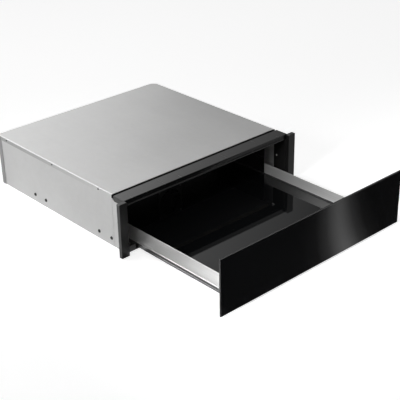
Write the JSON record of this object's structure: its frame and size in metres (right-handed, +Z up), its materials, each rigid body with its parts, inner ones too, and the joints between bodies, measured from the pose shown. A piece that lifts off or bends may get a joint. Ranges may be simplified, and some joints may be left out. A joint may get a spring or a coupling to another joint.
{
  "type": "built-in warming drawer",
  "caption": "Low built-in warming drawer with a galvanised case, black front frame, full-width black glass front, heated glass floor and push-to-open telescopic runners.",
  "frame": {"origin": "middle of the case underside, halfway between the top bar front and the rear panel", "axes": "+Z up, the front and the open drawer towards -Y, +X to the right seen from the front"},
  "size_m": [0.594, 0.879, 0.145],
  "materials": {
    "galvanised": "zinc coated sheet, dull grey",
    "frame_black": "black powder coat, satin",
    "bright_steel": "fine brushed stainless",
    "pan_black": "black enamelled sheet",
    "rail_steel": "rolled zinc plated steel",
    "black_glass": "opaque black glass, polished",
    "rubber_black": "silicone, matt",
    "plastic_black": "moulded, fine texture",
    "plastic_grey": "moulded, light grey",
    "screw_steel": "zinc plated",
    "screw_dark": "black oxide",
    "mineral_wool": "pressed fibre mat",
    "heater_rubber": "silicone heater mat"
  },
  "bodies": {
    "case": {"top_cover": "galvanised", "left_side_panel": "galvanised", "right_side_panel": "galvanised", "rear_panel": "galvanised", "base_plate": "galvanised", "frame_top_bar": "frame_black", "left_post": "frame_black", "right_post": "frame_black", "bottom_crossbar": "frame_black", "cavity_ceiling": "galvanised", "insulation": "mineral_wool", "left_rail_bracket": "galvanised", "right_rail_bracket": "galvanised", "left_case_rail": "rail_steel", "right_case_rail": "rail_steel", "cover_screws": "screw_steel", "rail_screws": "screw_dark", "frame_screws": "screw_steel", "rear_screws": "screw_steel", "terminal_box": "plastic_grey", "mains_inlet": "rubber_black", "control_box": "plastic_grey", "push_latch": "plastic_grey", "door_switch": "plastic_black"},
    "drawer": {"drawer_pan": "galvanised", "left_wall": "bright_steel", "right_wall": "bright_steel", "left_cheek": "pan_black", "right_cheek": "pan_black", "back_wall": "pan_black", "heater_mat": "heater_rubber", "thermostat": "plastic_black", "glass_floor": "black_glass", "floor_seal": "rubber_black", "front_glass": "black_glass", "front_carrier": "pan_black", "front_liner": "pan_black", "panel_gasket": "rubber_black", "left_front_bracket": "rail_steel", "right_front_bracket": "rail_steel", "left_drawer_rail": "rail_steel", "right_drawer_rail": "rail_steel", "fan_frame": "plastic_black", "fan_grille": "plastic_black", "latch_striker": "screw_steel", "drawer_screws": "screw_steel"},
    "left_middle": {"left_mid_rail": "rail_steel"},
    "right_middle": {"right_mid_rail": "rail_steel"},
    "left_outer_balls": {"left_outer_cage": "plastic_grey"},
    "right_outer_balls": {"right_outer_cage": "plastic_grey"},
    "left_inner_balls": {"left_inner_cage": "plastic_grey"},
    "right_inner_balls": {"right_inner_cage": "plastic_grey"},
    "fan": {"fan_rotor": "plastic_black"},
    "latch": {"latch_plunger": "plastic_black"},
    "switch": {"switch_plunger": "plastic_grey"}
  },
  "joints": [
    {"name": "drawer_slide", "type": "slide", "parent": "case", "child": "drawer", "axis": [0, 1, 0], "range_m": [0, 0.33]},
    {"name": "left_middle_slide", "type": "slide", "parent": "case", "child": "left_middle", "axis": [0, 1, 0], "range_m": [0, 0.165]},
    {"name": "left_outer_balls_slide", "type": "slide", "parent": "case", "child": "left_outer_balls", "axis": [0, 1, 0], "range_m": [0, 0.2475]},
    {"name": "left_inner_balls_slide", "type": "slide", "parent": "case", "child": "left_inner_balls", "axis": [0, 1, 0], "range_m": [0, 0.0825]},
    {"name": "right_middle_slide", "type": "slide", "parent": "case", "child": "right_middle", "axis": [0, 1, 0], "range_m": [0, 0.165]},
    {"name": "right_outer_balls_slide", "type": "slide", "parent": "case", "child": "right_outer_balls", "axis": [0, 1, 0], "range_m": [0, 0.2475]},
    {"name": "right_inner_balls_slide", "type": "slide", "parent": "case", "child": "right_inner_balls", "axis": [0, 1, 0], "range_m": [0, 0.0825]},
    {"name": "fan_spin", "type": "hinge", "parent": "drawer", "child": "fan", "pos_m": [0, -0.0935, 0.067], "axis": [0, 1, 0], "continuous": true},
    {"name": "latch_press", "type": "slide", "parent": "case", "child": "latch", "axis": [0, 1, 0], "range_m": [0, 0.004], "stiffness_N_per_m": 500},
    {"name": "switch_press", "type": "slide", "parent": "case", "child": "switch", "axis": [0, 1, 0], "range_m": [0, 0.0015], "stiffness_N_per_m": 300}
  ],
  "couplings": [
    {"joint": "left_middle_slide", "follows": "drawer_slide", "ratio": 0.5},
    {"joint": "left_outer_balls_slide", "follows": "drawer_slide", "ratio": 0.75},
    {"joint": "left_inner_balls_slide", "follows": "drawer_slide", "ratio": 0.25},
    {"joint": "right_middle_slide", "follows": "drawer_slide", "ratio": 0.5},
    {"joint": "right_outer_balls_slide", "follows": "drawer_slide", "ratio": 0.75},
    {"joint": "right_inner_balls_slide", "follows": "drawer_slide", "ratio": 0.25}
  ]
}
